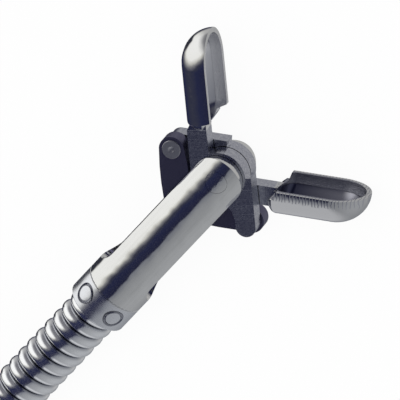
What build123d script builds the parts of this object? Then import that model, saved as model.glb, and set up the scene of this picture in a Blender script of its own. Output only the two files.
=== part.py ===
"""Distal end of flexible biopsy forceps: two oval-cup jaws on one pivot, opened by a pull wire.

All sizes are in millimetres. The shaft runs along X, with the origin at the centre of the sheath's
rear end and the jaws at the far end. Z is the pivot axis. The jaws swing in the XY plane: the left
jaw towards +Y, the right jaw towards -Y. The right-hand pieces are the left-hand ones turned half a
turn about the shaft axis, as on the real forceps.
"""
from build123d import *
from math import sqrt
import os

# Clevis: a slotted tube that carries the pivot and takes the coil in its rear socket
CLEVIS_R = 1.25
CLEVIS_REAR = 8.05
ARM_THICK = 0.50
SLOT_HALF = CLEVIS_R - ARM_THICK
SLOT_STRAIGHT = 5.50
ARM_REACH = 0.88
GUIDE_WALL = 0.59
GUIDE_R = CLEVIS_R - GUIDE_WALL
SOCKET_DEPTH = 0.80
SOCKET_WALL = 0.18
SOCKET_FLARE = 0.06
SEAM_FROM_PIVOT = 6.87
SEAM_WIDTH = 0.06
SEAM_DEPTH = 0.02

# Laser weld spots round the clevis sleeve
WELD_COUNT = 5
WELD_FROM_PIVOT = 7.42
WELD_RING_R = 0.35
WELD_RING_WIDTH = 0.12
WELD_DEPTH = 0.035

# Pivot
PIVOT_R = 0.43
PIVOT_PRESS_GAP = 0.01
RUNNING_GAP = 0.02

# Links from the jaw levers back to the pull wire; the linkage's other sizes keep step with them
LINK_LENGTH = 2.65
LINK_HALF = 0.19 * LINK_LENGTH
LINK_BULGE = 0.03 * LINK_LENGTH
LINK_EYE_R = 0.37

# Jaw plates: two ground layers between the clevis arms
PLATE_GAP = 0.03
PLATE_INNER = PLATE_GAP
PLATE_OUTER = SLOT_HALF - PLATE_GAP
HUB_R = 1.02
SHANK_IN = 0.35
SHANK_OUT = 1.13
SHANK_ROOT = 0.35
LEVER_REACH = 0.75 * LINK_LENGTH
LEVER_DROP = 0.84
LEVER_HALF = 0.40
LEVER_CROTCH_R = 0.70
LEFT_OPEN = 45.5
RIGHT_OPEN = 53.0

# The links' own layers, and the steps between the layers
LINK_STEP = 0.06
LINK_INNER = 0.18
LINK_OUTER = PLATE_OUTER - LINK_STEP

# Jaw cups: a hollow that runs out through the heel behind the side walls
CUP_R = 1.25
CUP_WALL = 0.20
CUP_HEEL = 1.92
CUP_HEEL_R = 0.50
CUP_HEEL_LENGTH = 0.30
CUP_NOSE = 4.42
NOSE_LENGTH = 1.38
BITE_GAP = 0.01
HOLLOW_START = 2.05
HOLLOW_RAMP = 0.55
WALL_START = 2.38
WALL_RAKE = 0.10
LEDGE_START = 2.14
LEDGE_BEVEL = 0.15

# Rivets that hold the links to the levers
RIVET_R = 0.27
RIVET_HEAD_R = 0.37
RIVET_HEAD_H = 0.05
RIVET_DIMPLE_R = 0.135
RIVET_DIMPLE_DEPTH = 0.04

# Drive pin and the connector on the pull wire
DRIVE_PIN_R = 0.18
DRIVE_PIN_PROUD = 0.04
DRIVE_PIN_HALF = LINK_OUTER + DRIVE_PIN_PROUD
DRIVE_PIN_LEAD = 0.129
TONGUE_HALF = 0.15
TONGUE_R = 0.40
BARREL_FROM_PIN = 0.78
BARREL_LENGTH = 1.05
BARREL_CLEARANCE = 0.25
BARREL_R = SLOT_HALF - BARREL_CLEARANCE
BARREL_EDGE = 0.08
WIRE_R = 0.225
WIRE_INSERT = 0.75
WIRE_STICK_OUT = 3.00
SLEEVE_R = 0.40
SLEEVE_LENGTH = 2.60
SLEEVE_EDGE = 0.05

# Coil sheath and its end ferrule
COIL_WIRE_R = 0.275
COIL_WIRE_SIDES = 6
COIL_PITCH = 0.565
COIL_TURN = 155.5
COIL_SEAT_GAP = 0.02
COIL_R = CLEVIS_R - SOCKET_WALL - COIL_SEAT_GAP
FERRULE_R = CLEVIS_R
FERRULE_LENGTH = 1.20
FERRULE_FLOOR = 0.40
FERRULE_EDGE = 0.10
COIL_FREE = 6.95

PIVOT_X = FERRULE_LENGTH + COIL_FREE + CLEVIS_REAR
HALF_TURN = Rot(180, 0, 0)


def disc(x: float, y: float, radius: float) -> Sketch:
    """A round face with its centre at x, y."""
    return Pos(x, y, 0) * Circle(radius)


def plate(outline: Sketch, low: float, high: float) -> Part:
    """The outline as a flat plate from one height to the other."""
    return Pos(0, 0, low) * extrude(outline, high - low)


def rod(x: float, y: float, radius: float, low: float, high: float) -> Part:
    """A round rod or hole along Z."""
    return plate(disc(x, y, radius), low, high)


def shaft_rod(x0: float, x1: float, radius: float) -> Part:
    """A round rod or bore along the shaft axis, from x0 to x1."""
    return Pos(x0, 0, 0) * Rot(0, 90, 0) * extrude(Circle(radius), x1 - x0)


def half_revolve(profile: Sketch) -> Part:
    """The profile, drawn in XY above the shaft axis, turned half a turn about it towards +Y."""
    return Rot(-90, 0, 0) * revolve(profile, axis=Axis.X, revolution_arc=180)


def spoon(heel: float, heel_r: float, rear: float, nose: float, length: float, radius: float) -> Part:
    """Half of a bullet shape about X: a rounded rear end, a straight body and an oval nose."""
    with BuildSketch() as profile:
        with BuildLine():
            if heel_r < radius:
                Line((heel, 0), (heel, radius - heel_r))
            EllipticalCenterArc((heel + rear, radius - heel_r), rear, heel_r, start_angle=90, arc_size=90)
            Line((heel + rear, radius), (nose, radius))
            EllipticalCenterArc((nose, 0), length, radius, start_angle=0, arc_size=90)
            Line((nose + length, 0), (heel, 0))
        make_face()
    return half_revolve(profile.sketch)


def jaw_plate() -> Part:
    """Flat plate of a closed left jaw: hub, shank towards the cup and lever towards the link."""
    shank_end = CUP_HEEL + CUP_HEEL_LENGTH
    lever_top = LEVER_HALF - LEVER_DROP
    lever_low = -LEVER_HALF - LEVER_DROP
    crotch_x = -sqrt((HUB_R + LEVER_CROTCH_R) ** 2 - (lever_top + LEVER_CROTCH_R) ** 2)
    shank = Polygon(
        (0, SHANK_IN), (shank_end, SHANK_IN), (shank_end, SHANK_OUT - SHANK_ROOT / 2),
        (CUP_HEEL, SHANK_OUT), (0, SHANK_OUT), (-SHANK_ROOT, HUB_R - SHANK_ROOT / 2), align=None,
    )
    lever = Polygon(
        (0, lever_low), (0, lever_top), (-LEVER_REACH, lever_top), (-LEVER_REACH, lever_low), align=None,
    )
    crotch = Polygon((0, 0), (crotch_x, lever_top), (0, lever_top), align=None)
    web = Polygon(
        (0, HUB_R / 2), (crotch_x, lever_top + LEVER_CROTCH_R), (crotch_x, lever_top), (0, lever_top),
        align=None,
    )
    web = web - disc(crotch_x, lever_top + LEVER_CROTCH_R, LEVER_CROTCH_R)
    outline = disc(0, 0, HUB_R) + shank + lever + crotch + web
    outline += disc(-LEVER_REACH, -LEVER_DROP, LEVER_HALF)
    return plate(outline, PLATE_INNER, PLATE_OUTER)


def closed_jaw() -> Part:
    """Left jaw in the closed position, with its pivot hole and rivet hole."""
    cup = spoon(CUP_HEEL, CUP_HEEL_R, CUP_HEEL_LENGTH, CUP_NOSE, NOSE_LENGTH, CUP_R)
    inner_r = CUP_R - CUP_WALL
    hollow = spoon(HOLLOW_START, inner_r, HOLLOW_RAMP, CUP_NOSE, NOSE_LENGTH - CUP_WALL, inner_r)
    ledge_low = SHANK_IN + LEDGE_BEVEL
    heel_cut = Polygon(
        (0, -CUP_R), (WALL_START, -CUP_R), (WALL_START, 0), (WALL_START - WALL_RAKE, SHANK_IN),
        (LEDGE_START, SHANK_IN), (CUP_HEEL, ledge_low), (0, ledge_low), align=None,
    )
    cup = cup - hollow - plate(heel_cut, -CUP_R, CUP_R)
    bite = plate(Polygon((0, 0), (PIVOT_X, 0), (PIVOT_X, BITE_GAP), (0, BITE_GAP), align=None), -CUP_R, CUP_R)
    jaw = cup - bite + (jaw_plate() - hollow)
    jaw -= rod(0, 0, PIVOT_R + RUNNING_GAP, 0, PLATE_OUTER)
    jaw -= rod(-LEVER_REACH, -LEVER_DROP, RIVET_R, 0, PLATE_OUTER)
    return jaw


def left_rivet() -> Vector:
    """Rivet of the open left jaw, measured from the pivot."""
    return Vector(-LEVER_REACH, -LEVER_DROP, 0).rotate(Axis.Z, LEFT_OPEN)


def right_rivet() -> Vector:
    """Rivet of the open right jaw, measured from the pivot."""
    return Vector(-LEVER_REACH, LEVER_DROP, 0).rotate(Axis.Z, -RIGHT_OPEN)


def link_eye() -> Vector:
    """Point behind the pivot that lies one link length from both rivets, where the links' eyes meet."""
    across = right_rivet() - left_rivet()
    middle = left_rivet() + across / 2
    height = sqrt(LINK_LENGTH ** 2 - (across.length / 2) ** 2)
    return middle + across.rotate(Axis.Z, 90).normalized() * height


def drive_pin_place() -> Vector:
    """Drive pin at rest: it bears on the far side of the links' wide eyes, as the wire pushes them."""
    return Vector(PIVOT_X - DRIVE_PIN_LEAD, 0, 0) + link_eye()


def flat_link() -> Part:
    """Link of the left jaw along -X from its rivet, in its own layer, with a boss at the rivet."""
    eye = -LINK_LENGTH
    with BuildSketch() as outline:
        with BuildLine():
            ThreePointArc((0, -LINK_HALF), (eye / 2, -LINK_HALF - LINK_BULGE), (eye, -LINK_HALF))
            ThreePointArc((eye, -LINK_HALF), (eye - LINK_HALF, 0), (eye, LINK_HALF))
            ThreePointArc((eye, LINK_HALF), (eye / 2, LINK_HALF + LINK_BULGE), (0, LINK_HALF))
            ThreePointArc((0, LINK_HALF), (LINK_HALF, 0), (0, -LINK_HALF))
        make_face()
    link = plate(outline.sketch, -LINK_OUTER, -LINK_INNER)
    link += rod(0, 0, LINK_HALF, -LINK_INNER, -PLATE_INNER)
    link -= rod(0, 0, RIVET_R + RUNNING_GAP, -LINK_OUTER, 0)
    link -= rod(eye, 0, LINK_EYE_R, -LINK_OUTER, 0)
    return link


def rivet() -> Part:
    """Rivet of the left jaw on its own axis: pressed in the lever, headed on the link's outer face."""
    head_top = -LINK_OUTER - RIVET_HEAD_H
    body = rod(0, 0, RIVET_R, -LINK_OUTER, PLATE_OUTER)
    head = rod(0, 0, RIVET_HEAD_R, head_top, -LINK_OUTER)
    head = chamfer(head.edges().group_by(Axis.Z)[0], RIVET_HEAD_H / 3)
    ball_r = (RIVET_DIMPLE_R ** 2 + RIVET_DIMPLE_DEPTH ** 2) / (2 * RIVET_DIMPLE_DEPTH)
    dimple = Pos(0, 0, head_top + RIVET_DIMPLE_DEPTH - ball_r) * Sphere(ball_r)
    return body + head - dimple


def clevis() -> Part:
    """Slotted tube: rounded arms, slot with a full round end, guide bore, coil socket and welds."""
    rear = PIVOT_X - CLEVIS_REAR
    slot_start = PIVOT_X - SLOT_STRAIGHT
    arm_half = sqrt(CLEVIS_R ** 2 - SLOT_HALF ** 2)
    arm_centre = PIVOT_X + ARM_REACH - arm_half
    body = shaft_rod(rear, PIVOT_X + ARM_REACH, CLEVIS_R)
    body = chamfer(body.edges().group_by(Axis.X)[0], SOCKET_FLARE)
    outline = Pos(rear, 0, 0) * Rectangle(arm_centre - rear, 2 * CLEVIS_R, align=(Align.MIN, Align.CENTER))
    outline += disc(arm_centre, 0, arm_half)
    body = body & plate(outline, -CLEVIS_R, CLEVIS_R)
    body -= Pos(slot_start, 0, 0) * Box(
        CLEVIS_REAR, 2 * CLEVIS_R, 2 * SLOT_HALF, align=(Align.MIN, Align.CENTER, Align.CENTER))
    body -= Pos(slot_start, CLEVIS_R, 0) * Rot(90, 0, 0) * extrude(Circle(SLOT_HALF), 2 * CLEVIS_R)
    body -= shaft_rod(rear, slot_start, GUIDE_R)
    body -= shaft_rod(rear, rear + SOCKET_DEPTH, COIL_R + COIL_SEAT_GAP)
    body -= rod(PIVOT_X, 0, PIVOT_R + PIVOT_PRESS_GAP, -CLEVIS_R, CLEVIS_R)
    body -= seam()
    for spot in range(WELD_COUNT):
        body -= weld_ring((spot + 0.5) * 360 / WELD_COUNT)
    return body


def seam() -> Part:
    """Shallow turned line round the clevis, in front of the coil socket."""
    x0 = PIVOT_X - SEAM_FROM_PIVOT
    outside = shaft_rod(x0, x0 + SEAM_WIDTH, CLEVIS_R + SEAM_DEPTH)
    return outside - shaft_rod(x0, x0 + SEAM_WIDTH, CLEVIS_R - SEAM_DEPTH)


def weld_ring(angle: float) -> Part:
    """Ring-shaped furrow that a laser weld spot leaves, at an angle round the shaft from the top."""
    ring = Circle(WELD_RING_R + WELD_RING_WIDTH / 2) - Circle(WELD_RING_R - WELD_RING_WIDTH / 2)
    ring = extrude(ring, CLEVIS_R + WELD_DEPTH)
    x0 = PIVOT_X - WELD_FROM_PIVOT
    ring = Pos(x0, 0, 0) * Rot(angle, 0, 0) * ring
    return ring - shaft_rod(x0 - CLEVIS_R, x0 + CLEVIS_R, CLEVIS_R - WELD_DEPTH)


def pivot_pin() -> Part:
    """Pin through both arms and both jaws, dressed flush with the round outside of the clevis."""
    pin = rod(PIVOT_X, 0, PIVOT_R, -CLEVIS_R, CLEVIS_R)
    return pin & shaft_rod(PIVOT_X - CLEVIS_R, PIVOT_X + CLEVIS_R, CLEVIS_R)


def connector() -> Part:
    """Connector of the pull wire: a flat tongue with the drive pin's hole, and a round barrel."""
    front = -BARREL_FROM_PIN
    rear = front - BARREL_LENGTH
    tongue = disc(0, 0, TONGUE_R) + Pos(front - BARREL_EDGE, 0, 0) * Rectangle(
        BARREL_EDGE - front, 2 * TONGUE_R, align=(Align.MIN, Align.CENTER))
    barrel = shaft_rod(rear, front, BARREL_R)
    barrel = chamfer(barrel.edges().group_by(Axis.X)[0] + barrel.edges().group_by(Axis.X)[-1], BARREL_EDGE)
    body = barrel + plate(tongue, -TONGUE_HALF, TONGUE_HALF)
    body -= rod(0, 0, DRIVE_PIN_R, -TONGUE_HALF, TONGUE_HALF)
    return body - shaft_rod(rear, rear + WIRE_INSERT, WIRE_R)


def drive_pin() -> Part:
    """Pin that carries both links on the connector's tongue."""
    return rod(0, 0, DRIVE_PIN_R, -DRIVE_PIN_HALF, DRIVE_PIN_HALF)


def wire_rear() -> float:
    """Free rear end of the wire along X, measured from the drive pin."""
    return -drive_pin_place().X - WIRE_STICK_OUT


def pull_wire() -> Part:
    """Wire from the connector back through the sheath, past its rear end."""
    return shaft_rod(wire_rear(), -BARREL_FROM_PIN - BARREL_LENGTH + WIRE_INSERT, WIRE_R)


def wire_end_sleeve() -> Part:
    """Sleeve crimped on the wire's free end, where the handle's slide clamps it."""
    sleeve = shaft_rod(wire_rear(), wire_rear() + SLEEVE_LENGTH, SLEEVE_R)
    sleeve = chamfer(sleeve.edges().group_by(Axis.X)[0] + sleeve.edges().group_by(Axis.X)[-1], SLEEVE_EDGE)
    return sleeve - shaft_rod(wire_rear(), wire_rear() + SLEEVE_LENGTH, WIRE_R)


def coil_sheath() -> Part:
    """Close-wound round wire, from the ferrule's floor to the bottom of the clevis socket."""
    x0 = FERRULE_FLOOR
    x1 = PIVOT_X - CLEVIS_REAR + SOCKET_DEPTH
    middle_r = COIL_R - COIL_WIRE_R
    height = x1 - x0 - 2 * COIL_WIRE_R
    path = Helix(COIL_PITCH, height, middle_r)
    section = Plane(origin=path @ 0, z_dir=path % 0) * RegularPolygon(COIL_WIRE_R, COIL_WIRE_SIDES)
    coil = sweep(section, path=path, is_frenet=True)
    return Pos(x0 + COIL_WIRE_R, 0, 0) * Rot(COIL_TURN, 0, 0) * Rot(0, 90, 0) * coil


def end_ferrule() -> Part:
    """Plain cup that finishes the rear end of the coil and lets the pull wire through."""
    body = shaft_rod(0, FERRULE_LENGTH, FERRULE_R)
    body = chamfer(body.edges().group_by(Axis.X)[-1], FERRULE_EDGE)
    body -= shaft_rod(FERRULE_FLOOR, FERRULE_LENGTH, COIL_R + COIL_SEAT_GAP)
    return body - shaft_rod(0, FERRULE_FLOOR, GUIDE_R)


def turned(piece: Part, angle: float, place: Vector) -> Part:
    """A piece drawn about its own pin, turned about Z and moved to that pin's place."""
    return Pos(place) * Rot(0, 0, angle) * piece


def build() -> dict[str, Part]:
    """Every node of the forceps by name."""
    pivot = Vector(PIVOT_X, 0, 0)
    left_pin = pivot + left_rivet()
    right_pin = pivot + right_rivet()
    eye = pivot + link_eye()
    back = Vector(-1, 0, 0)
    left_angle = -back.get_angle(eye - left_pin)
    right_angle = back.get_angle(eye - right_pin)
    jaw = closed_jaw()
    link = flat_link()
    drive = drive_pin_place()
    return {
        "clevis": clevis(),
        "pivot_pin": pivot_pin(),
        "coil_sheath": coil_sheath(),
        "end_ferrule": end_ferrule(),
        "jaw_left": turned(jaw, LEFT_OPEN, pivot),
        "jaw_right": turned(HALF_TURN * jaw, -RIGHT_OPEN, pivot),
        "rivet_left": turned(rivet(), LEFT_OPEN, left_pin),
        "rivet_right": turned(HALF_TURN * rivet(), -RIGHT_OPEN, right_pin),
        "link_left": turned(link, left_angle, left_pin),
        "link_right": turned(HALF_TURN * link, right_angle, right_pin),
        "wire_connector": turned(connector(), 0, drive),
        "drive_pin": turned(drive_pin(), 0, drive),
        "pull_wire": turned(pull_wire(), 0, drive),
        "wire_end_sleeve": turned(wire_end_sleeve(), 0, drive),
    }


os.makedirs("parts", exist_ok=True)
for node_name, solid in build().items():
    export_step(solid, f"parts/{node_name}.step")
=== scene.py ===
"""Dresses the distal end of flexible biopsy forceps and sets up its studio.

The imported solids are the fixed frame. Polished pieces get smooth copies of their solids, whose
normals are worked out from the true surfaces, and the coil gets a round wire. Sizes whose names end
in _mm are in millimetres, and all other places are in metres, on the axes of the solids: X along the
shaft towards the jaws, Y towards the left jaw and Z along the pivot pin.
"""

from __future__ import annotations

import logging
import math
from abc import ABC, abstractmethod
from dataclasses import dataclass
from enum import Enum
from typing import Any, Protocol, Sequence

import bmesh
import bpy
import numpy as np
from mathutils import Matrix, Vector

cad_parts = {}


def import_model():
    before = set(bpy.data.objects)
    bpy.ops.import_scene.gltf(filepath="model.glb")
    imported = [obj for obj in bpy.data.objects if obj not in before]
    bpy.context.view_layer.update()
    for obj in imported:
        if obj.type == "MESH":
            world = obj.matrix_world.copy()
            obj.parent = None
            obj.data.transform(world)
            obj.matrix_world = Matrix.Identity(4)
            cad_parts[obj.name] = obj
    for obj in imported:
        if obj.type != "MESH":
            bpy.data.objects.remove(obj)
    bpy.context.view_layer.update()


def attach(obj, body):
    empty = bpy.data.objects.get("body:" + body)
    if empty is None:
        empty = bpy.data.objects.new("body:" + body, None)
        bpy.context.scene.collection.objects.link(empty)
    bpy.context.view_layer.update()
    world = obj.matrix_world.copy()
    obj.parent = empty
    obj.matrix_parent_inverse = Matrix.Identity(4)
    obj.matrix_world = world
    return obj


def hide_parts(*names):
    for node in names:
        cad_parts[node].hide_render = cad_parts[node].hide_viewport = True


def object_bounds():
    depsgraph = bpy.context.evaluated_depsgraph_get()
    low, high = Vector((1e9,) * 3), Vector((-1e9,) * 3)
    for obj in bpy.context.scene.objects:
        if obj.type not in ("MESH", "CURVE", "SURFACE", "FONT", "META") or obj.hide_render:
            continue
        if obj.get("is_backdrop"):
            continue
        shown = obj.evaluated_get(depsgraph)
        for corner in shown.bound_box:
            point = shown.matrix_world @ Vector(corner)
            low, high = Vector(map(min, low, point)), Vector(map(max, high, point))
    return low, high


LOG = logging.getLogger("forceps")
MM = 0.001
TINY = 1e-9
PHOTO_PIXELS = 400

PIVOT_X_MM = 16.2
HEAD_R_MM = 1.25
LEFT_OPEN_DEG = 45.5
RIGHT_OPEN_DEG = 53.0

# A Mix node's colour sockets share their names with its other ones, so they go by number
COLOUR_A = 6
COLOUR_B = 7
COLOUR_MIX = {"output": 2, "data_type": "RGBA"}

Array = np.ndarray
Tree = bpy.types.NodeTree
Socket = bpy.types.NodeSocket
Inputs = dict[int | str, Any]


class Side(Enum):
    """Which of the two jaws a piece belongs to."""

    LEFT = "left"
    RIGHT = "right"


class Way(Enum):
    """A part of a direction in the studio, by its axis."""

    FORWARD = "X"
    SIDEWAYS = "Y"
    UPWARD = "Z"


def hex_to_linear(code: str) -> tuple[float, float, float, float]:
    """Turns an sRGB colour such as "#8A8C90" into linear values.

    Args:
        code: The colour as a hash sign and six hex digits.

    Returns:
        Red, green, blue and an alpha of 1.
    """
    channels = np.array([int(code[i : i + 2], 16) / 255 for i in (1, 3, 5)])
    linear = np.where(channels <= 0.04045, channels / 12.92, ((channels + 0.055) / 1.055) ** 2.4)
    return (float(linear[0]), float(linear[1]), float(linear[2]), 1.0)


def set_inputs(tree: Tree, node: bpy.types.Node, inputs: Inputs) -> None:
    """Gives a node its input values and links.

    Args:
        tree: The node tree that holds the node.
        node: The node.
        inputs: Socket name or number to a value, to a hex colour, or to an output socket to link from.
    """
    for socket, value in inputs.items():
        if isinstance(value, Socket):
            tree.links.new(value, node.inputs[socket])
        else:
            node.inputs[socket].default_value = hex_to_linear(value) if isinstance(value, str) else value


def add_node(tree: Tree, kind: str, inputs: Inputs, output: int | str = 0, **settings: Any) -> Any:
    """Adds a node with its settings, values and links.

    Args:
        tree: The node tree that gets the node.
        kind: The node's type without the ShaderNode prefix, such as "Math".
        inputs: Socket name or number to a value, to a hex colour, or to an output socket to link from.
        output: Name or number of the output socket that is wanted.
        settings: The node's own properties, such as operation="ADD".

    Returns:
        The wanted output socket, or None from a node that has none.
    """
    node = tree.nodes.new("ShaderNode" + kind)
    for name, value in settings.items():
        setattr(node, name, value)
    set_inputs(tree, node, inputs)
    return node.outputs[output] if len(node.outputs) else None


@dataclass(frozen=True)
class Noise:
    """A noise pattern: its size, the octaves of finer noise in it, and how strong those are."""

    size_mm: float
    detail: float = 2.0
    harshness: float = 0.5

    def at(self, place: Socket, unit: float = 1.0) -> Inputs:
        """The noise node's inputs at a place that is in millimetres or, where unit is MM, in metres."""
        scale = 1 / (self.size_mm * unit)
        return {"Vector": place, "Scale": scale, "Detail": self.detail, "Roughness": self.harshness}


@dataclass(frozen=True)
class JawShape:
    """Sizes of a jaw's cup, along the jaw's own axis from the pivot and away from it."""

    radius_mm: float = HEAD_R_MM
    wall_mm: float = 0.20
    heel_mm: float = 1.92
    heel_r_mm: float = 0.50
    heel_length_mm: float = 0.30
    hollow_start_mm: float = 2.05
    hollow_ramp_mm: float = 0.55
    nose_mm: float = 4.42
    nose_length_mm: float = 1.38


@dataclass(frozen=True)
class JawFrame:
    """A jaw's own axes: u along the jaw from the pivot, w outwards, z along the pivot pin."""

    side: Side

    @property
    def turn(self) -> Matrix:
        """Rotation from the shaft's axes into the jaw's. The right jaw is the left one turned over.

        Returns:
            The rotation matrix, 3 by 3.
        """
        if self.side is Side.LEFT:
            return Matrix.Rotation(math.radians(-LEFT_OPEN_DEG), 3, "Z")
        return Matrix.Rotation(math.pi, 3, "X") @ Matrix.Rotation(math.radians(RIGHT_OPEN_DEG), 3, "Z")

    @property
    def shift_mm(self) -> Vector:
        """Where the shaft's origin lies in the jaw's axes, in millimetres."""
        return -(self.turn @ Vector((PIVOT_X_MM, 0.0, 0.0)))

    def local(self, points: Array) -> Array:
        """Points in metres on the shaft's axes, n by 3, as millimetres on the jaw's."""
        return points / MM @ np.array(self.turn).T + np.array(self.shift_mm)

    def back(self, directions: Array) -> Array:
        """Directions on the jaw's axes, n by 3, turned to the shaft's."""
        return directions @ np.array(self.turn)


class Metal(ABC):
    """A bare metal. Each kind says what its surface looks like, and this makes the material of it."""

    name: str

    @abstractmethod
    def surface(self, tree: Tree) -> Inputs:
        """The shader's colour, roughness and normal, each as a value or a socket."""

    def build(self) -> bpy.types.Material:
        """Makes the material.

        Returns:
            The material, with its shader's inputs set.
        """
        material = bpy.data.materials.new(self.name)
        material.use_nodes = True
        tree = material.node_tree
        set_inputs(tree, tree.nodes["Principled BSDF"], {"Metallic": 1.0, **self.surface(tree)})
        return material


@dataclass(frozen=True)
class ElectropolishedSteel(Metal):
    """Stainless steel, electropolished: a near mirror whose slight waviness frays reflections.

    The roughness is that of the clearest spots, and the haziest ones have it times haze_rise.
    """

    name: str = "electropolished_steel"
    colour: str = "#E9E9E7"
    roughness: float = 0.06
    haze_rise: float = 2.4
    haze_limits: tuple[float, float] = (0.3, 0.8)
    wave: Noise = Noise(0.45, 3.0, 0.62)
    wave_height_mm: float = 0.012
    grain: Noise = Noise(0.10)

    def surface(self, tree: Tree) -> Inputs:
        """One colour, waves in the normal and haze in the roughness.

        Args:
            tree: The material's node tree.

        Returns:
            The shader's inputs.
        """
        place = add_node(tree, "TexCoord", {}, "Object")
        wave = add_node(tree, "TexNoise", self.wave.at(place, MM))
        grain = add_node(tree, "TexNoise", self.grain.at(place, MM))
        low, high = self.haze_limits
        haze = add_node(tree, "MapRange", {
            "Value": grain, "From Min": low, "From Max": high,
            "To Min": self.roughness, "To Max": self.roughness * self.haze_rise})
        bump = add_node(tree, "Bump", {"Height": wave, "Distance": self.wave_height_mm * MM})
        return {"Base Color": self.colour, "Roughness": haze, "Normal": bump}


@dataclass(frozen=True)
class SpringSteel(ElectropolishedSteel):
    """The coil's wire: polished, with painted shade in the gaps between its turns."""

    name: str = "polished_spring_wire"
    colour: str = "#FAFBFC"
    roughness: float = 0.11
    wave_height_mm: float = 0.008
    # Painted shade: the darker colour that the wire takes between its turns
    gap: str = "#A6A8B0"
    gap_shade_start_mm: float = 0.98
    gap_shade_end_mm: float = 0.85

    def surface(self, tree: Tree) -> Inputs:
        """The polished surface, with painted shade where it is nearer the shaft's axis than its outside.

        Args:
            tree: The material's node tree.

        Returns:
            The shader's inputs.
        """
        place = add_node(tree, "TexCoord", {}, "Object")
        flat = add_node(tree, "Mapping", {"Vector": place, "Scale": (0.0, 1 / MM, 1 / MM)})
        away = add_node(tree, "VectorMath", {0: flat}, "Value", operation="LENGTH")
        # Painted shade: the wire's colour darkens towards the shaft's axis, between its turns
        between = add_node(tree, "MapRange", {
            "Value": away, "From Min": self.gap_shade_start_mm, "From Max": self.gap_shade_end_mm})
        tinted = add_node(tree, "Mix", {
            "Factor": between, COLOUR_A: self.colour, COLOUR_B: self.gap}, **COLOUR_MIX)
        return {**super().surface(tree), "Base Color": tinted}


@dataclass(frozen=True)
class ClevisSteel(ElectropolishedSteel):
    """Electropolished steel, duller on the collar behind the seam, with oxide in the weld furrows.

    Its waves are longer and higher than plain polish has, and give the reflections wavy edges. Faint
    streaks run along it.
    """

    name: str = "clevis_steel"
    wave: Noise = Noise(0.75, 1.2, 0.62)
    wave_height_mm: float = 0.034
    streak: Noise = Noise(1.0, 3.0)
    streak_mm: float = 0.16
    streak_length_mm: float = 2.5
    streak_limits: tuple[float, float] = (0.45, 0.75)
    streaked: str = "#E2E2E0"
    collar: str = "#E6E8EC"
    collar_roughness: float = 0.17
    collar_edge_mm: tuple[float, float] = (0.04, -0.10)
    oxide: str = "#A0A2AA"
    seam_x_mm: float = PIVOT_X_MM - 6.84
    weld_x_mm: float = PIVOT_X_MM - 7.42
    weld_count: int = 5
    weld_r_mm: float = 0.35
    furrow_half_mm: float = 0.075
    furrow_edge_mm: float = 0.03

    def surface(self, tree: Tree) -> Inputs:
        """The plain polish, with streaks, collar and furrows in its colour and collar in its roughness.

        Args:
            tree: The material's node tree.

        Returns:
            The shader's inputs.
        """
        plain = super().surface(tree)
        place = add_node(tree, "Mapping", {
            "Vector": add_node(tree, "TexCoord", {}, "Object"), "Scale": (1 / MM, 1 / MM, 1 / MM)})
        along = add_node(tree, "SeparateXYZ", {"Vector": place}, "X")
        stretched = add_node(tree, "Mapping", {
            "Vector": place, "Scale": (1 / self.streak_length_mm, 1 / self.streak_mm, 1 / self.streak_mm)})
        streaks = add_node(tree, "TexNoise", self.streak.at(stretched))
        low, high = self.streak_limits
        faint = add_node(tree, "MapRange", {"Value": streaks, "From Min": low, "From Max": high})
        front, rear = self.collar_edge_mm
        behind = add_node(tree, "MapRange", {
            "Value": along, "From Min": self.seam_x_mm + front, "From Max": self.seam_x_mm + rear})
        colour: Any = self.colour
        layers = ((faint, self.streaked), (behind, self.collar), (self.furrows(tree, place), self.oxide))
        for share, tone in layers:
            colour = add_node(tree, "Mix", {"Factor": share, COLOUR_A: colour, COLOUR_B: tone}, **COLOUR_MIX)
        rough = add_node(tree, "Math", {
            0: behind, 1: self.collar_roughness, 2: plain["Roughness"]}, operation="MULTIPLY_ADD")
        return {**plain, "Base Color": colour, "Roughness": rough}

    def furrows(self, tree: Tree, place: Socket) -> Any:
        """1 in the ring-shaped furrows: where a point lies one ring radius from a weld's own axis.

        The distance from the axis is the length of the cross product of the point, taken from the
        weld's centre, with the axis. Only the axis's positive side counts.

        Args:
            tree: The material's node tree.
            place: The point in millimetres.

        Returns:
            The socket of the sum over all welds.
        """
        centre = (self.weld_x_mm, 0.0, 0.0)
        centred = add_node(tree, "VectorMath", {0: place, 1: centre}, operation="SUBTRACT")
        total: Any = 0.0
        for spot in range(self.weld_count):
            turn = 2 * math.pi * (spot + 0.5) / self.weld_count
            axis = (0.0, -math.sin(turn), math.cos(turn))
            across = add_node(tree, "VectorMath", {0: centred, 1: axis}, operation="CROSS_PRODUCT")
            away = add_node(tree, "VectorMath", {0: across}, "Value", operation="LENGTH")
            off = add_node(tree, "Math", {0: away, 1: self.weld_r_mm}, operation="SUBTRACT")
            near = add_node(tree, "Math", {0: off}, operation="ABSOLUTE")
            ring = add_node(tree, "MapRange", {
                "Value": near, "From Min": self.furrow_half_mm,
                "From Max": self.furrow_half_mm - self.furrow_edge_mm})
            side = add_node(tree, "VectorMath", {0: centred, 1: axis}, "Value", operation="DOT_PRODUCT")
            facing = add_node(tree, "Math", {0: side, 1: 0.0}, operation="GREATER_THAN")
            total = add_node(tree, "Math", {0: ring, 1: facing, 2: total}, operation="MULTIPLY_ADD")
        return total


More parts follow.
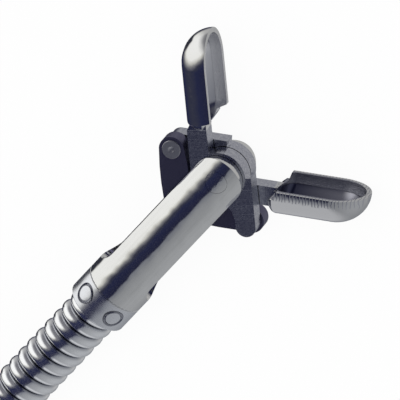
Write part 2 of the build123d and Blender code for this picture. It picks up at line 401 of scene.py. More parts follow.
@dataclass(frozen=True)
class SatinSteel(Metal):
    """Steel left satin by tumbling, with fine directionless grain.

    Real grain is finer: here it is drawn as coarse as it needs to show.
    """

    name: str
    colour: str
    roughness: float
    roughness_range: tuple[float, float] = (0.85, 1.2)
    grain: Noise = Noise(0.06, 3.0, 0.6)
    grain_limits: tuple[float, float] = (0.3, 0.7)
    grain_height_mm: float = 0.004

    def surface(self, tree: Tree) -> Inputs:
        """One colour, with the same grain in the normal and in the roughness.

        Args:
            tree: The material's node tree.

        Returns:
            The shader's inputs.
        """
        place = add_node(tree, "TexCoord", {}, "Object")
        grain = add_node(tree, "TexNoise", self.grain.at(place, MM))
        low, high = self.grain_limits
        least, most = self.roughness_range
        haze = add_node(tree, "MapRange", {
            "Value": grain, "From Min": low, "From Max": high,
            "To Min": self.roughness * least, "To Max": self.roughness * most})
        bump = add_node(tree, "Bump", {"Height": grain, "Distance": self.grain_height_mm * MM})
        return {"Base Color": self.colour, "Roughness": haze, "Normal": bump}


@dataclass(frozen=True)
class Zone:
    """What one zone of a surface looks like, each as a value or a socket; heights in millimetres."""

    colour: Any
    height_mm: Any
    roughness: Any

    def over(self, tree: Tree, below: Zone, mask: Socket) -> Zone:
        """This zone where the mask is 1, and the one below where it is 0.

        Args:
            tree: The material's node tree.
            below: The other zone.
            mask: The mask's socket.

        Returns:
            The two as one.
        """
        colour = add_node(tree, "Mix", {
            "Factor": mask, COLOUR_A: below.colour, COLOUR_B: self.colour}, **COLOUR_MIX)
        height_mm = add_node(tree, "Mix", {"Factor": mask, "A": below.height_mm, "B": self.height_mm})
        roughness = add_node(tree, "Mix", {"Factor": mask, "A": below.roughness, "B": self.roughness})
        return Zone(colour, height_mm, roughness)


@dataclass(frozen=True)
class JawPoint:
    """The shaded point on a jaw's own axes, in millimetres, as sockets of a node tree.

    Along is its distance from the pivot along the jaw, outward that from the plane of the rim, and
    across that from the jaw's middle plane.
    """

    tree: Tree
    place: Socket
    along: Socket
    outward: Socket
    across: Socket


@dataclass(frozen=True)
class JawSteel(Metal):
    """One jaw's steel: polished cup, ground plate, satin hollow with a blasted band under its rim.

    The polish mirrors softly, the ground plate is scratched and mottled, and the blasted band is
    speckled. A jaw with a hatch share was honed under its rim after polishing, so its cup has short
    upright marks there. The hollow's colour holds painted shade towards its heel, and the polish,
    hollow and band colours given to each jaw hold painted light on the left jaw and painted shade on
    the right. All sizes are on the jaw's own axes.
    """

    side: Side
    # Painted shade: the hollow's colour at its heel, where shade falls between the side walls
    painted_heel_shade: str
    # The hollow's colours, the band's and the polish's hold painted light on the left jaw and painted shade
    # on the right
    hollow_light: str
    blasted: str
    hatch_share: float = 0.0
    polished: str = "#E9E9E7"
    ground: str = "#CCCDD4"
    ground_dark: str = "#AEB0BC"
    shape: JawShape = JawShape()
    polish_start_mm: float = 1.99
    polish_edge_mm: float = 0.02
    polish_stray_mm: float = 0.10
    polish_line: Noise = Noise(0.4, 1.0)
    polish_roughness: float = 0.08
    wave: Noise = Noise(0.5)
    wave_height_mm: float = 0.010
    scratch: Noise = Noise(1.0)
    scratch_mm: float = 0.035
    scratches_per_mm: float = 1.2
    scratch_turns: tuple[float, float] = (0.35, -0.9)
    scratch_height_mm: float = 0.004
    scratch_roughness: tuple[float, float] = (0.12, 0.34)
    mottle: Noise = Noise(0.09, 4.0, 0.6)
    mottle_limits: tuple[float, float] = (0.42, 0.60)
    hatch_mm: float = 0.13
    hatch_bend: float = 4.5
    hatch_limits: tuple[float, float] = (0.72, 0.97)
    hatch_height_mm: float = 0.006
    hatch_depth_mm: tuple[float, float] = (0.22, 0.10)
    hatch_stray_mm: float = 0.35
    hatch_line: Noise = Noise(0.2, 1.0)
    band_depth_mm: tuple[float, float] = (0.43, 0.39)
    band_roughness: float = 0.50
    speckle: Noise = Noise(0.07, 4.0, 0.7)
    speckle_height_mm: float = 0.016
    hollow_roughness: float = 0.28
    heel_shade_fade_mm: tuple[float, float] = (0.6, 0.3)
    hollow_margin_mm: float = 0.1
    inside_r_mm: float = 1.14

    @property
    def name(self) -> str:
        """The material's name."""
        return f"jaw_steel_{self.side.value}"

    def surface(self, tree: Tree) -> Inputs:
        """The hollow over the cup over the ground plate.

        Args:
            tree: The material's node tree.

        Returns:
            The shader's inputs.
        """
        jaw = JawFrame(self.side)
        place = add_node(tree, "Mapping", {
            "Vector": add_node(tree, "TexCoord", {}, "Object"),
            "Location": jaw.shift_mm,
            "Rotation": jaw.turn.to_euler("XYZ"),
            "Scale": (1 / MM, 1 / MM, 1 / MM),
        })
        split = add_node(tree, "SeparateXYZ", {"Vector": place}).node.outputs
        point = JawPoint(tree, place, *(split[axis] for axis in "XYZ"))
        outside = self.cup(point).over(tree, self.plate(point), self.cup_mask(point))
        whole = self.hollow(point).over(tree, outside, self.hollow_mask(point))
        bump = add_node(tree, "Bump", {"Height": whole.height_mm, "Distance": MM})
        return {"Base Color": whole.colour, "Roughness": whole.roughness, "Normal": bump}

    def plate(self, point: JawPoint) -> Zone:
        """The ground plate: straight scratches in two directions, and mottling.

        Args:
            point: The shaded point.

        Returns:
            The plate's zone.
        """
        tree, place = point.tree, point.place
        lines = []
        stretch = (1 / self.scratch_mm, self.scratches_per_mm, self.scratches_per_mm)
        for turn in self.scratch_turns:
            squeezed = add_node(tree, "Mapping", {
                "Vector": place, "Scale": stretch, "Rotation": (0.0, 0.0, turn)})
            lines.append(add_node(tree, "TexNoise", self.scratch.at(squeezed)))
        scratch = add_node(tree, "Math", {0: lines[0], 1: lines[1]}, operation="MAXIMUM")
        mottle = add_node(tree, "TexNoise", self.mottle.at(place))
        low, high = self.mottle_limits
        worn = add_node(tree, "MapRange", {"Value": mottle, "From Min": low, "From Max": high})
        colour = add_node(tree, "Mix", {
            "Factor": worn, COLOUR_A: self.ground_dark, COLOUR_B: self.ground}, **COLOUR_MIX)
        height_mm = add_node(tree, "Math", {0: scratch, 1: self.scratch_height_mm}, operation="MULTIPLY")
        least, most = self.scratch_roughness
        roughness = add_node(tree, "MapRange", {"Value": scratch, "To Min": least, "To Max": most})
        return Zone(colour, height_mm, roughness)

    def cup(self, point: JawPoint) -> Zone:
        """The polished cup, with its honing marks where it has any.

        Args:
            point: The shaded point.

        Returns:
            The cup's zone.
        """
        tree = point.tree
        wave = add_node(tree, "TexNoise", self.wave.at(point.place))
        hatch = self.hatch(point) if self.hatch_share else 0.0
        hatch_height = add_node(tree, "Math", {0: hatch, 1: self.hatch_height_mm}, operation="MULTIPLY")
        height_mm = add_node(tree, "Math", {
            0: wave, 1: self.wave_height_mm, 2: hatch_height}, operation="MULTIPLY_ADD")
        honed = add_node(tree, "Math", {0: hatch, 1: self.hatch_share}, operation="MULTIPLY")
        colour = add_node(tree, "Mix", {
            "Factor": honed, COLOUR_A: self.polished, COLOUR_B: self.ground_dark}, **COLOUR_MIX)
        return Zone(colour, height_mm, self.polish_roughness)

    def hollow(self, point: JawPoint) -> Zone:
        """The satin hollow, with the blasted band just under its rim.

        Painted shade darkens the hollow at the heel, where the two side walls face each other most
        closely.

        Args:
            point: The shaded point.

        Returns:
            The hollow's zone.
        """
        tree = point.tree
        speckle = add_node(tree, "TexNoise", self.speckle.at(point.place))
        speckled = add_node(tree, "Mix", {
            "Factor": speckle, COLOUR_A: self.hollow_light, COLOUR_B: self.blasted}, **COLOUR_MIX)
        # Painted shade: the hollow's colour darkens from the nose towards the heel
        heel, nose = self.heel_shade_fade_mm
        forward = add_node(tree, "MapRange", {
            "Value": point.along, "From Min": self.shape.hollow_start_mm + heel,
            "From Max": self.shape.nose_mm + nose})
        heel_shaded = add_node(tree, "Mix", {
            "Factor": forward, COLOUR_A: self.painted_heel_shade, COLOUR_B: self.hollow_light}, **COLOUR_MIX)
        height_mm = add_node(tree, "Math", {0: speckle, 1: self.speckle_height_mm}, operation="MULTIPLY")
        start, end = self.band_depth_mm
        band = add_node(tree, "MapRange", {"Value": point.outward, "From Min": start, "From Max": end})
        below = Zone(heel_shaded, 0.0, self.hollow_roughness)
        return Zone(speckled, height_mm, self.band_roughness).over(tree, below, band)

    def cup_mask(self, point: JawPoint) -> Any:
        """1 on the polished cup and 0 on the ground plate, along a slightly uneven line.

        Args:
            point: The shaded point.

        Returns:
            The mask's socket.
        """
        tree = point.tree
        uneven = add_node(tree, "TexNoise", self.polish_line.at(point.place))
        line = add_node(tree, "Math", {
            0: uneven, 1: self.polish_stray_mm, 2: point.along}, operation="MULTIPLY_ADD")
        return add_node(tree, "MapRange", {
            "Value": line, "From Min": self.polish_start_mm - self.polish_edge_mm,
            "From Max": self.polish_start_mm + self.polish_edge_mm})

    def hollow_mask(self, point: JawPoint) -> Any:
        """1 in the cup's hollow: nearer its axis than a radius between its two walls.

        The squared distance is outward squared plus across squared, and past the nose's centre also
        plus the squared distance from it along the jaw.

        Args:
            point: The shaded point.

        Returns:
            The mask's socket.
        """
        tree, along, outward, across = point.tree, point.along, point.outward, point.across
        square = add_node(tree, "Math", {0: across, 1: across}, operation="MULTIPLY")
        nose = add_node(tree, "Math", {0: along, 1: -self.shape.nose_mm}, operation="ADD")
        past = add_node(tree, "Math", {0: nose, 1: 0.0}, operation="MAXIMUM")
        wide = add_node(tree, "Math", {0: past, 1: past, 2: square}, operation="MULTIPLY_ADD")
        radius = add_node(tree, "Math", {0: outward, 1: outward, 2: wide}, operation="MULTIPLY_ADD")
        within = add_node(tree, "Math", {0: radius, 1: self.inside_r_mm ** 2}, operation="LESS_THAN")
        start = self.shape.hollow_start_mm + self.hollow_margin_mm
        beyond = add_node(tree, "Math", {0: along, 1: start}, operation="GREATER_THAN")
        return add_node(tree, "Math", {0: within, 1: beyond}, operation="MULTIPLY")

    def hatch(self, point: JawPoint) -> Any:
        """Upright honing marks under the rim, of uneven length.

        Bands of a wave node at scale s are pi / (10 s) apart.

        Args:
            point: The shaded point.

        Returns:
            The socket that is 1 in a mark.
        """
        tree = point.tree
        marks = add_node(tree, "TexWave", {
            "Vector": point.place, "Scale": math.pi / (10 * self.hatch_mm), "Distortion": self.hatch_bend,
        }, "Fac", bands_direction="X")
        low, high = self.hatch_limits
        crisp = add_node(tree, "MapRange", {"Value": marks, "From Min": low, "From Max": high})
        uneven = add_node(tree, "TexNoise", self.hatch_line.at(point.place))
        reach = add_node(tree, "Math", {
            0: uneven, 1: -self.hatch_stray_mm, 2: point.outward}, operation="MULTIPLY_ADD")
        start, end = self.hatch_depth_mm
        fade = add_node(tree, "MapRange", {"Value": reach, "From Min": start, "From Max": end})
        return add_node(tree, "Math", {0: crisp, 1: fade}, operation="MULTIPLY")


@dataclass(frozen=True)
class RivetSteel(Metal):
    """A rivet: satin where its head was formed, and ground flush with the plate at its other end.

    The left jaw's head is on the -Z side and the right jaw's on the +Z side.
    """

    side: Side
    head: str = "#BABABF"
    head_roughness: float = 0.40
    ground: str = JawSteel.ground
    ground_dark: str = JawSteel.ground_dark
    ground_roughness: float = 0.24
    mottle: Noise = JawSteel.mottle
    mottle_limits: tuple[float, float] = JawSteel.mottle_limits
    grain: Noise = Noise(0.05, 3.0)
    grain_height_mm: float = 0.004

    @property
    def name(self) -> str:
        """The material's name."""
        return f"rivet_steel_{self.side.value}"

    def surface(self, tree: Tree) -> Inputs:
        """Grain on the head and mottling on the flush end.

        Args:
            tree: The material's node tree.

        Returns:
            The shader's inputs.
        """
        place = add_node(tree, "TexCoord", {}, "Object")
        height = add_node(tree, "SeparateXYZ", {"Vector": place}, "Z")
        head_sign = -1.0 if self.side is Side.LEFT else 1.0
        raised = add_node(tree, "Math", {0: height, 1: head_sign}, operation="MULTIPLY")
        head = add_node(tree, "Math", {0: raised, 1: 0.0}, operation="GREATER_THAN")
        grain = add_node(tree, "TexNoise", self.grain.at(place, MM))
        head_grain = add_node(tree, "Math", {0: grain, 1: head}, operation="MULTIPLY")
        bump = add_node(tree, "Bump", {"Height": head_grain, "Distance": self.grain_height_mm * MM})
        mottle = add_node(tree, "TexNoise", self.mottle.at(place, MM))
        low, high = self.mottle_limits
        worn = add_node(tree, "MapRange", {"Value": mottle, "From Min": low, "From Max": high})
        colour: Any = self.ground_dark
        for share, tone in ((worn, self.ground), (head, self.head)):
            colour = add_node(tree, "Mix", {"Factor": share, COLOUR_A: colour, COLOUR_B: tone}, **COLOUR_MIX)
        rough = add_node(tree, "MapRange", {
            "Value": head, "To Min": self.ground_roughness, "To Max": self.head_roughness})
        return {"Base Color": colour, "Roughness": rough, "Normal": bump}


def new_object(name: str, mesh: bpy.types.Mesh) -> bpy.types.Object:
    """Puts a mesh into the scene as an object at the origin.

    Args:
        name: The object's name.
        mesh: Its mesh.

    Returns:
        The object.
    """
    piece = bpy.data.objects.new(name, mesh)
    bpy.context.scene.collection.objects.link(piece)
    return piece


def shade_smooth(mesh: bpy.types.Mesh, sharp_deg: float) -> None:
    """Makes all faces smooth, and keeps edges sharp that turn more than an angle."""
    mesh.polygons.foreach_set("use_smooth", np.ones(len(mesh.polygons), dtype=bool))
    mesh.set_sharp_from_angle(angle=math.radians(sharp_deg))


def corner_facts(mesh: bpy.types.Mesh) -> tuple[Array, Array]:
    """Each face corner's place and its face's normal.

    Args:
        mesh: A mesh of triangles.

    Returns:
        Two arrays with a row for each corner.
    """
    places = np.empty(len(mesh.vertices) * 3)
    mesh.vertices.foreach_get("co", places)
    corners = np.empty(len(mesh.loops), dtype=np.int64)
    mesh.loops.foreach_get("vertex_index", corners)
    normals = np.empty(len(mesh.polygons) * 3)
    mesh.polygons.foreach_get("normal", normals)
    sizes = np.empty(len(mesh.polygons), dtype=np.int64)
    mesh.polygons.foreach_get("loop_total", sizes)
    return places.reshape(-1, 3)[corners], np.repeat(normals.reshape(-1, 3), sizes, axis=0)


def facing_normals(normals: Array, faces: Array, near: Array, facing_limit: float) -> Array:
    """A surface's normals, turned to the side that the faces are on.

    Args:
        normals: The surface's normal at each corner, n by 3.
        faces: The normals of the corners' faces, n by 3.
        near: Whether each corner lies on the surface.
        facing_limit: The least cosine between a face and the surface that it is part of.

    Returns:
        An array of n by 3, with zeros for the corners that aren't part of the surface.
    """
    facing = np.sum(normals * faces, axis=1)
    on_it = near & (np.abs(facing) > facing_limit)
    return normals * np.where(on_it, np.sign(facing), 0.0)[:, None]


class Surface(Protocol):
    """A true surface that some corners of a solid lie on."""

    def normals(self, places: Array, faces: Array) -> Array:
        """True normals of the corners that lie on this surface, and zeros for the others."""
        ...


@dataclass(frozen=True)
class ShaftSurface:
    """A round surface about a line along the shaft: the normal points straight away from the line."""

    radius_mm: float
    offset_y_mm: float = 0.0
    slack_mm: float = 0.004
    facing_limit: float = 0.93

    def normals(self, places: Array, faces: Array) -> Array:
        """True normals of the corners that lie on this surface, and zeros for the others.

        Args:
            places: The corners' places in metres, n by 3.
            faces: The normals of the corners' faces, n by 3.

        Returns:
            An array of n by 3.
        """
        radial = places / MM - np.array([0.0, self.offset_y_mm, 0.0])
        radial[:, 0] = 0.0
        distance = np.linalg.norm(radial, axis=1)
        radial = radial / np.maximum(distance, TINY)[:, None]
        near = np.abs(distance - self.radius_mm) < self.slack_mm
        return facing_normals(radial, faces, near, self.facing_limit)


@dataclass(frozen=True)
class FlatSurface:
    """Every flat face across the pivot axis: its corners keep the face's own normal."""

    limit: float = 0.9999

    def normals(self, places: Array, faces: Array) -> Array:
        """The faces' normals where they lie along Z, and zeros for the others."""
        return faces * (np.abs(faces[:, 2]) > self.limit)[:, None]


@dataclass(frozen=True)
class SpoonSurface:
    """Half of a bullet about a jaw's own axis: an oval rear, a straight body and an oval nose."""

    jaw: JawFrame
    radius_mm: float
    heel_mm: float
    heel_r_mm: float
    rear_mm: float
    nose_mm: float
    length_mm: float
    slack_mm: float = 0.01
    facing_limit: float = 0.88

    def normals(self, places: Array, faces: Array) -> Array:
        """True normals of the corners that lie on this surface, and zeros for the others.

        In the half plane of u along the jaw and r away from its axis, the surface is the line
        r = radius, an ellipse about (nose, 0) in front of it, and one about the heel's centre behind.
        The normal is the gradient of the ellipse's equation, or straight out on the line.

        Args:
            places: The corners' places in metres, n by 3.
            faces: The normals of the corners' faces, n by 3.

        Returns:
            An array of n by 3.
        """
        local = self.jaw.local(places)
        along = local[:, 0]
        away = np.hypot(local[:, 1], local[:, 2])
        core = self.radius_mm - self.heel_r_mm
        before = along - self.nose_mm
        behind = along - (self.heel_mm + self.rear_mm)
        front = np.stack([before / self.length_mm ** 2, away / self.radius_mm ** 2], axis=1)
        rear = np.stack([behind / self.rear_mm ** 2, (away - core) / self.heel_r_mm ** 2], axis=1)
        body = np.stack([np.zeros_like(along), np.ones_like(along)], axis=1)
        flat = np.where((before > 0)[:, None], front, np.where((behind < 0)[:, None], rear, body))
        scale = np.where(
            before > 0, np.hypot(before / self.length_mm, away / self.radius_mm),
            np.where(behind < 0, np.hypot(behind / self.rear_mm, (away - core) / self.heel_r_mm),
                     away / self.radius_mm))
        flat = flat / np.maximum(np.linalg.norm(flat, axis=1), TINY)[:, None]
        outward = local[:, 1:] / np.maximum(away, TINY)[:, None]
        turned = np.concatenate([flat[:, :1], flat[:, 1:] * outward], axis=1)
        near = np.abs(scale - 1.0) * self.rear_mm < self.slack_mm
        return facing_normals(self.jaw.back(turned), faces, near, self.facing_limit)


def smooth_copy(
    node: str, name: str, surfaces: Sequence[Surface], sharp_deg: float = 32.0, merge_mm: float = 0.0005
) -> bpy.types.Object:
    """Copy of a solid that shades as its true surfaces do.

    The solid's loose triangles are merged, edges sharper than a limit stay sharp, and the corners
    that lie on a known surface get that surface's own normal.

    Args:
        node: The solid's name.
        name: The copy's name.
        surfaces: The known surfaces; the first that a corner lies on counts.
        sharp_deg: Edges that turn more than this stay sharp.
        merge_mm: Corners nearer to each other than this are merged.

    Returns:
        The copy, which replaces the solid.
    """
    mesh = bpy.data.objects[node].data.copy()
    mesh.name = name
    shape = bmesh.new()
    shape.from_mesh(mesh)
    bmesh.ops.remove_doubles(shape, verts=shape.verts, dist=merge_mm * MM)
    shape.to_mesh(mesh)
    shape.free()
    shade_smooth(mesh, sharp_deg)
    places, faces = corner_facts(mesh)
    normals = np.zeros_like(places)
    for surface in surfaces:
        free = (np.abs(normals).sum(axis=1) == 0)[:, None]
        normals = np.where(free, surface.normals(places, faces), normals)
    plain = np.empty(len(mesh.loops) * 3)
    mesh.corner_normals.foreach_get("vector", plain)
    missing = (np.abs(normals).sum(axis=1) == 0)[:, None]
    mesh.normals_split_custom_set(np.where(missing, plain.reshape(-1, 3), normals))
    piece = new_object(name, mesh)
    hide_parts(node)
    return piece


def dress(piece: bpy.types.Object, material: bpy.types.Material, body: str) -> None:
    """Gives a piece its material and its body, and logs it.

    Args:
        piece: The piece.
        material: Its material.
        body: The body that it moves with.
    """
    piece.data.materials.clear()
    piece.data.materials.append(material)
    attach(piece, body)
    LOG.info("%s: %d faces on body %s", piece.name, len(piece.data.polygons), body)


def tube_mesh(name: str, rings: Array, sharp_deg: float = 50.0) -> bpy.types.Mesh:
    """Closed tube through rings of points, with flat end caps.

    Args:
        name: The mesh's name.
        rings: An array of rings by sides by 3, counter-clockwise seen from the far end.
        sharp_deg: Edges that turn more than this stay sharp.

    Returns:
        The mesh, with every face pointing outwards.
    """
    count, sides = rings.shape[:2]
    ring, side = np.meshgrid(np.arange(count - 1), np.arange(sides), indexing="ij")
    here = ring * sides + side
    beside = ring * sides + (side + 1) % sides
    quads = np.stack([here, beside, beside + sides, here + sides], axis=-1).reshape(-1, 4)
    mesh = bpy.data.meshes.new(name)
    faces = quads.tolist() + [list(range(sides))[::-1], list(range((count - 1) * sides, count * sides))]
    mesh.from_pydata(rings.reshape(-1, 3).tolist(), [], faces)
    shape = bmesh.new()
    shape.from_mesh(mesh)
    bmesh.ops.recalc_face_normals(shape, faces=shape.faces)
    shape.to_mesh(mesh)
    shape.free()
    shade_smooth(mesh, sharp_deg)
    return mesh


@dataclass
class Sheath:
    """The fixed body: slotted clevis, pivot pin, coil of round wire and end ferrule."""

    clevis_steel: bpy.types.Material
    polish: bpy.types.Material
    coil_polish: bpy.types.Material
    clevis_r_mm: float = HEAD_R_MM
    guide_r_mm: float = 0.66
    coil_r_mm: float = 1.05
    wire_r_mm: float = 0.275
    pitch_mm: float = 0.565
    coil_turn_deg: float = 155.5
    seat_mm: float = 1.07
    coil_start_mm: float = 0.4
    coil_end_mm: float = 8.95
    steps_per_turn: int = 72
    wire_sides: int = 20

    def coil(self) -> bpy.types.Mesh:
        """Round wire on a helix.

        The centre line is x = start + pitch t, y and z on a circle, with t in turns. A ring at t
        stands on two axes at right angles to the line: straight out from the shaft's axis, and the
        cross product of the line's direction with that. An angle of 0 is the -Z side, and the wire
        climbs from there towards +Y, as the solid does.

        Returns:
            The wire's mesh.
        """
        middle = self.coil_r_mm - self.wire_r_mm
        start = self.coil_start_mm + self.wire_r_mm
        turns = (self.coil_end_mm - self.wire_r_mm - start) / self.pitch_mm
        t = np.linspace(0.0, turns, int(turns * self.steps_per_turn) + 1)
        nought = np.zeros_like(t)
        angle = 2 * math.pi * t + math.radians(self.coil_turn_deg)
        out = np.stack([nought, np.sin(angle), -np.cos(angle)], axis=1)
        side = np.stack([nought, np.cos(angle), np.sin(angle)], axis=1)
        centre = np.stack([start + self.pitch_mm * t, nought, nought], axis=1) + middle * out
        line = side * (2 * math.pi * middle) + np.array([self.pitch_mm, 0.0, 0.0])
        line = line / np.linalg.norm(line, axis=1)[:, None]
        second = np.cross(line, out)
        around = np.linspace(0.0, 2 * math.pi, self.wire_sides, endpoint=False)
        rings = (
            centre[:, None, :]
            + self.wire_r_mm * np.cos(around)[None, :, None] * out[:, None, :]
            + self.wire_r_mm * np.sin(around)[None, :, None] * second[:, None, :]
        )
        return tube_mesh("coil_wire", rings * MM)

    def build(self) -> None:
        """Makes and dresses the body's pieces."""
        rounds = [ShaftSurface(radius) for radius in (self.clevis_r_mm, self.guide_r_mm, self.seat_mm)]
        clevis = smooth_copy("clevis", "clevis_polished", rounds)
        pin = smooth_copy("pivot_pin", "pivot_pin_polished", rounds[:1])
        ferrule = smooth_copy("end_ferrule", "end_ferrule_polished", rounds)
        coil = new_object("coil_wire", self.coil())
        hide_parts("coil_sheath")
        finishes = {clevis: self.clevis_steel, pin: self.polish, ferrule: self.polish, coil: self.coil_polish}
        for piece, finish in finishes.items():
            dress(piece, finish, "sheath")


@dataclass
class Jaw:
    """One jaw with its rivet."""

    side: Side
    steel: bpy.types.Material
    rivet_steel: bpy.types.Material
    shape: JawShape = JawShape()

    def build(self) -> None:
        """Makes and dresses the jaw and its rivet."""
        frame = JawFrame(self.side)
        shape = self.shape
        inner = shape.radius_mm - shape.wall_mm
        outside = SpoonSurface(
            frame, shape.radius_mm, shape.heel_mm, shape.heel_r_mm, shape.heel_length_mm, shape.nose_mm,
            shape.nose_length_mm)
        hollow = SpoonSurface(
            frame, inner, shape.hollow_start_mm, inner, shape.hollow_ramp_mm, shape.nose_mm,
            shape.nose_length_mm - shape.wall_mm)
        name = self.side.value
        jaw = smooth_copy(f"jaw_{name}", f"jaw_{name}_finished", [FlatSurface(), outside, hollow])
        dress(jaw, self.steel, f"{name}_jaw")
        rivet = smooth_copy(f"rivet_{name}", f"rivet_{name}_finished", [FlatSurface()])
        dress(rivet, self.rivet_steel, f"{name}_jaw")


@dataclass
class Linkage:
    """Both links and the pull wire with its connector and drive pin."""

    dark: bpy.types.Material
    drawn: bpy.types.Material
    wire_r_mm: float = 0.225
    sleeve_r_mm: float = 0.40
    barrel_r_mm: float = 0.50
    wire_y_mm: float = 0.15274

    def build(self) -> None:
        """Makes and dresses the moving pieces behind the jaws."""
        for side in Side:
            link = smooth_copy(f"link_{side.value}", f"link_{side.value}_finished", [FlatSurface()])
            dress(link, self.dark, f"{side.value}_link")
        round_sizes = (self.wire_r_mm, self.sleeve_r_mm, self.barrel_r_mm)
        surfaces = [ShaftSurface(radius, self.wire_y_mm) for radius in round_sizes]
        for node in ("pull_wire", "wire_end_sleeve", "wire_connector", "drive_pin"):
            piece = smooth_copy(node, f"{node}_finished", surfaces)
            dress(piece, self.drawn, "pull_wire")


@dataclass(frozen=True)
class Panel:
    """A soft-edged part of the studio that the steel mirrors: one colour where all limits are met.

    A limit is a part of the direction with two values of it: where the panel starts to show, and
    where it shows in full.
    """

    colour: str
    limits: tuple[tuple[Way, float, float], ...]

    def over(self, tree: Tree, below: Socket, ways: dict[Way, Socket]) -> Any:
        """The colour below, covered by the panel.

        Args:
            tree: The world's node tree.
            below: The colour below.
            ways: The parts of the direction.

        Returns:
            The covered colour's socket.
        """
        share: Any = 1.0
        for way, start, end in self.limits:
            part = add_node(tree, "MapRange", {
                "Value": ways[way], "From Min": start, "From Max": end}, interpolation_type="SMOOTHSTEP")
            share = add_node(tree, "Math", {0: share, 1: part}, operation="MULTIPLY")
        return add_node(tree, "Mix", {"Factor": share, COLOUR_A: below, COLOUR_B: self.colour}, **COLOUR_MIX)


@dataclass
class Studio:
    """Camera at the photograph's angle, a pale floor, a soft lamp and a world of soft panels.

    The world shows white to the camera. What polished steel mirrors depends mostly on the sideways
    part of the direction: a bright side towards +Y, a blue-black gap over the shaft and a grey wall
    towards -Y. Four panels lie over that: a grey wall in front, a light wall far behind, a pale table
    under the jaws and the table's dark edge.
    """

    pixels_per_mm: float = 26.2
    lens_mm: float = 800.0
    sensor_mm: float = 36.0
    clip_shares: tuple[float, float] = (0.01, 20.0)
    aim_mm: tuple[float, float, float] = (PIVOT_X_MM - 1.255, -0.024, 0.718)
    right: tuple[float, float, float] = (0.612, -0.734, -0.293)
    up: tuple[float, float, float] = (0.647, 0.678, -0.348)
    floor_gap_mm: float = 0.002
    floor_half_mm: float = 400.0
    floor_paper: str = "#F6F6F6"
    floor_glow: float = 0.94
    white: str = "#FFFFFF"
    even_light: str = "#E6E6E6"
    lamp_energy: float = 0.6
    lamp_spread_deg: float = 50.0
    lamp_tilt_deg: tuple[float, float, float] = (-20.0, 12.0, 0.0)
    sideways_stops: tuple[tuple[float, str], ...] = (
        (-1.00, "#ACAEB2"),
        (-0.70, "#9C9EA2"),
        (-0.35, "#8E9095"),
        (-0.15, "#777A84"),
        (-0.09, "#23253D"),
        (0.30, "#262A48"),
        (0.44, "#363849"),
        (0.51, "#64646E"),
        (0.58, "#8E8E90"),
        (0.65, "#CCCBC6"),
        (0.74, "#FAFAF8"),
        (1.00, "#FFFFFF"),
    )
    front_wall: Panel = Panel("#76767C", ((Way.FORWARD, -0.06, 0.44), (Way.SIDEWAYS, 0.35, 0.60)))
    back_wall: Panel = Panel("#C4C5C9", ((Way.FORWARD, -0.55, -0.85), (Way.SIDEWAYS, -0.08, -0.25)))
    table: Panel = Panel("#B6B6B7", ((Way.UPWARD, -0.35, -0.75), (Way.FORWARD, -0.25, 0.15)))
    table_edge: Panel = Panel("#32343E", (
        (Way.UPWARD, -0.36, -0.58),
        (Way.SIDEWAYS, 0.02, 0.20),
        (Way.FORWARD, -0.64, -0.54),
        (Way.FORWARD, -0.26, -0.36),
    ))

    def camera(self) -> None:
        """Places a long-lens camera whose frame is as wide as the photograph's."""
        right = Vector(self.right).normalized()
        back = right.cross(Vector(self.up)).normalized()
        up = back.cross(right)
        width = PHOTO_PIXELS / self.pixels_per_mm * MM
        data = bpy.data.cameras.new("camera")
        data.lens = self.lens_mm
        data.sensor_width = self.sensor_mm
        distance = width * self.lens_mm / self.sensor_mm
        data.clip_start, data.clip_end = (distance * share for share in self.clip_shares)
        camera = bpy.data.objects.new("camera", data)
        turn = Matrix((right, up, back)).transposed()
        camera.matrix_world = Matrix.Translation(Vector(self.aim_mm) * MM + back * distance) @ turn.to_4x4()
        bpy.context.scene.collection.objects.link(camera)
        bpy.context.scene.camera = camera

    def floor(self) -> None:
        """A white floor that keeps the object's soft shadow and isn't mirrored in the steel."""
        low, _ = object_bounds()
        half = self.floor_half_mm * MM
        height = low.z - self.floor_gap_mm * MM
        corners = [(-half, -half, height), (half, -half, height), (half, half, height), (-half, half, height)]
        mesh = bpy.data.meshes.new("floor")
        mesh.from_pydata(corners, [], [(0, 1, 2, 3)])
        floor = new_object("floor", mesh)
        floor.visible_glossy = False
        material = bpy.data.materials.new("white_paper")
        material.use_nodes = True
        tree = material.node_tree
        tree.nodes.clear()
        paper = add_node(tree, "BsdfDiffuse", {"Color": self.floor_paper})
        white = add_node(tree, "Emission", {"Color": self.white})
        seen = add_node(tree, "LightPath", {}, "Is Camera Ray")
        share = add_node(tree, "Math", {0: seen, 1: self.floor_glow}, operation="MULTIPLY")
        mixed = add_node(tree, "MixShader", {0: share, 1: paper, 2: white})
        add_node(tree, "OutputMaterial", {"Surface": mixed})
        mesh.materials.append(material)
        floor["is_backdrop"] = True

    def world(self) -> None:
        """White to the camera, soft panels to the steel, an even light to the rest."""
        world = bpy.data.worlds.new("studio")
        bpy.context.scene.world = world
        world.use_nodes = True
        tree = world.node_tree
        tree.nodes.clear()
        direction = add_node(tree, "TexCoord", {}, "Generated")
        split = add_node(tree, "SeparateXYZ", {"Vector": direction}).node.outputs
        ways = {way: split[way.value] for way in Way}
        shown = self.sideways_colour(tree, ways[Way.SIDEWAYS])
        for panel in (self.front_wall, self.back_wall, self.table, self.table_edge):
            shown = panel.over(tree, shown, ways)
        colours = (shown, self.even_light, self.white)
        panels, even, white = (add_node(tree, "Background", {"Color": colour}) for colour in colours)
        ray = add_node(tree, "LightPath", {}).node.outputs
        mirrored = add_node(tree, "MixShader", {0: ray["Is Glossy Ray"], 1: even, 2: panels})
        whole = add_node(tree, "MixShader", {0: ray["Is Camera Ray"], 1: mirrored, 2: white})
        add_node(tree, "OutputWorld", {"Surface": whole})

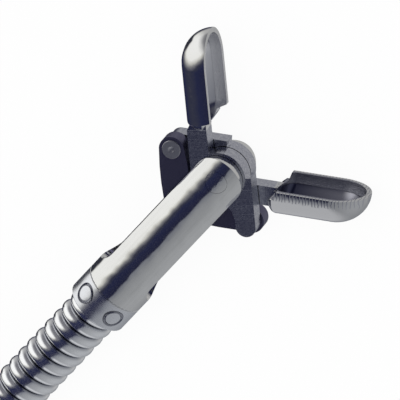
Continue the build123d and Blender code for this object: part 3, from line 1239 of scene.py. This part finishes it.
    def sideways_colour(self, tree: Tree, sideways: Socket) -> Any:
        """The colour ramp from the -Y side to the +Y side.

        Args:
            tree: The world's node tree.
            sideways: The sideways part of the direction, from -1 to 1.

        Returns:
            The colour's socket.
        """
        place = add_node(tree, "MapRange", {"Value": sideways, "From Min": -1.0, "From Max": 1.0})
        colour = add_node(tree, "ValToRGB", {"Fac": place}, "Color")
        elements = colour.node.color_ramp.elements
        while len(elements) > 1:
            elements.remove(elements[-1])
        for number, (part, code) in enumerate(self.sideways_stops):
            stop = elements[0] if number == 0 else elements.new((part + 1) / 2)
            stop.position = (part + 1) / 2
            stop.color = hex_to_linear(code)
        return colour

    def lamp(self) -> None:
        """A wide soft lamp from above for the floor's shadow, which the steel doesn't mirror."""
        data = bpy.data.lights.new("soft_lamp", "SUN")
        data.energy = self.lamp_energy
        data.angle = math.radians(self.lamp_spread_deg)
        lamp = bpy.data.objects.new("soft_lamp", data)
        lamp.rotation_euler = [math.radians(tilt) for tilt in self.lamp_tilt_deg]
        lamp.visible_glossy = False
        bpy.context.scene.collection.objects.link(lamp)

    def build(self) -> None:
        """Sets up the whole studio."""
        self.camera()
        self.floor()
        self.world()
        self.lamp()
        bpy.context.scene.view_settings.view_transform = "Standard"


def main() -> None:
    """Builds the dressed forceps and their studio."""
    logging.basicConfig(level=logging.INFO, format="%(message)s")
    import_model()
    Sheath(ClevisSteel().build(), ElectropolishedSteel().build(), SpringSteel().build()).build()
    # One steel on both jaws: the left jaw's pale hollow and band colours are painted light, and the right
    # jaw's darker hollow, band and polish colours are painted shade
    lit_left_steel = JawSteel(Side.LEFT, painted_heel_shade="#BCBDC4", hollow_light="#F0F0F2", blasted="#FAFAFB")
    shaded_right_steel = JawSteel(
        Side.RIGHT, painted_heel_shade="#5C5E74", hollow_light="#B4B4BE", blasted="#A4A6B2", hatch_share=0.50,
        polished="#D6D6D6")
    for steel in (lit_left_steel, shaded_right_steel):
        Jaw(steel.side, steel.build(), RivetSteel(steel.side).build()).build()
    dark = SatinSteel("dark_satin_steel", "#6A6882", roughness=0.40).build()
    drawn = SatinSteel("drawn_wire_steel", "#C4C4C2", roughness=0.16).build()
    Linkage(dark, drawn).build()
    Studio().build()


if __name__ == "__main__":
    main()
